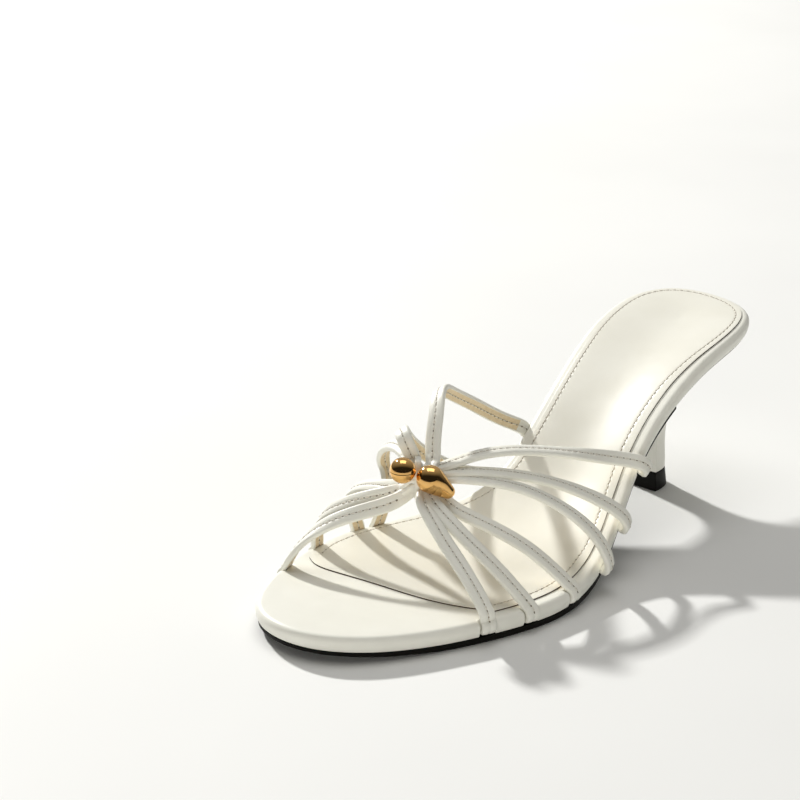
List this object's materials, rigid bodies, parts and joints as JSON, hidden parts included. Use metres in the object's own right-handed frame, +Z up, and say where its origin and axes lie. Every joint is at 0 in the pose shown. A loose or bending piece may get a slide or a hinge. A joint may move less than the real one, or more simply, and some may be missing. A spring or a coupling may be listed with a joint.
{
  "type": "kitten-heel strappy mule sandal",
  "caption": "Slip-on sandal with a low flared heel, thin cream straps gathered into a knot over the instep, and polished gold beads.",
  "frame": {"origin": "centre of the shoe's bounding box, on the floor plane that it stands on", "axes": "+Z up, +Y towards the heel, -Y towards the toe, +X towards the outer side of this left foot"},
  "size_m": [0.0931, 0.2402, 0.0662],
  "materials": {
    "cream_leather": "smooth, semi-matte",
    "cream_insole": "smooth, matte",
    "black_rubber": "fine matte",
    "polished_gold": "mirror polished"
  },
  "bodies": {
    "root": {"outsole": "black_rubber", "midsole": "cream_leather", "insole": "cream_insole", "heel": "cream_leather", "heel_top_lift": "black_rubber", "upper": "cream_leather", "knot_wrap": "cream_leather", "bead_round": "polished_gold", "bead_drop": "polished_gold"}
  },
  "joints": []
}
